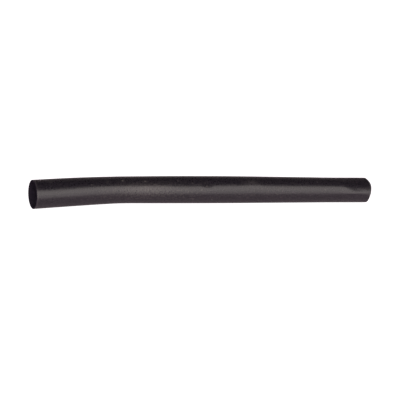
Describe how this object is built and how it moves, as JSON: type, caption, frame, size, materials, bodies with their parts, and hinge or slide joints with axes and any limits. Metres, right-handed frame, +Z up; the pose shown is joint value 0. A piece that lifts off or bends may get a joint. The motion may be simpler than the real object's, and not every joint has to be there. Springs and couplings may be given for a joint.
{
  "type": "heat shrink tube",
  "caption": "Thin-walled black polyolefin heat shrink tube, cut square and open at both ends, slightly bowed from storage.",
  "frame": {"origin": "bottom centre of the tube's box, on the floor that it lies on", "axes": "+X along the tube towards its right end, +Y away from the front that the picture shows, +Z up"},
  "size_m": [0.1528, 0.0148, 0.0113],
  "materials": {
    "black_polyolefin": "extruded polyolefin, dull black with a faint waxy sheen"
  },
  "bodies": {
    "root": {"heat_shrink_tube": "black_polyolefin"}
  },
  "joints": []
}
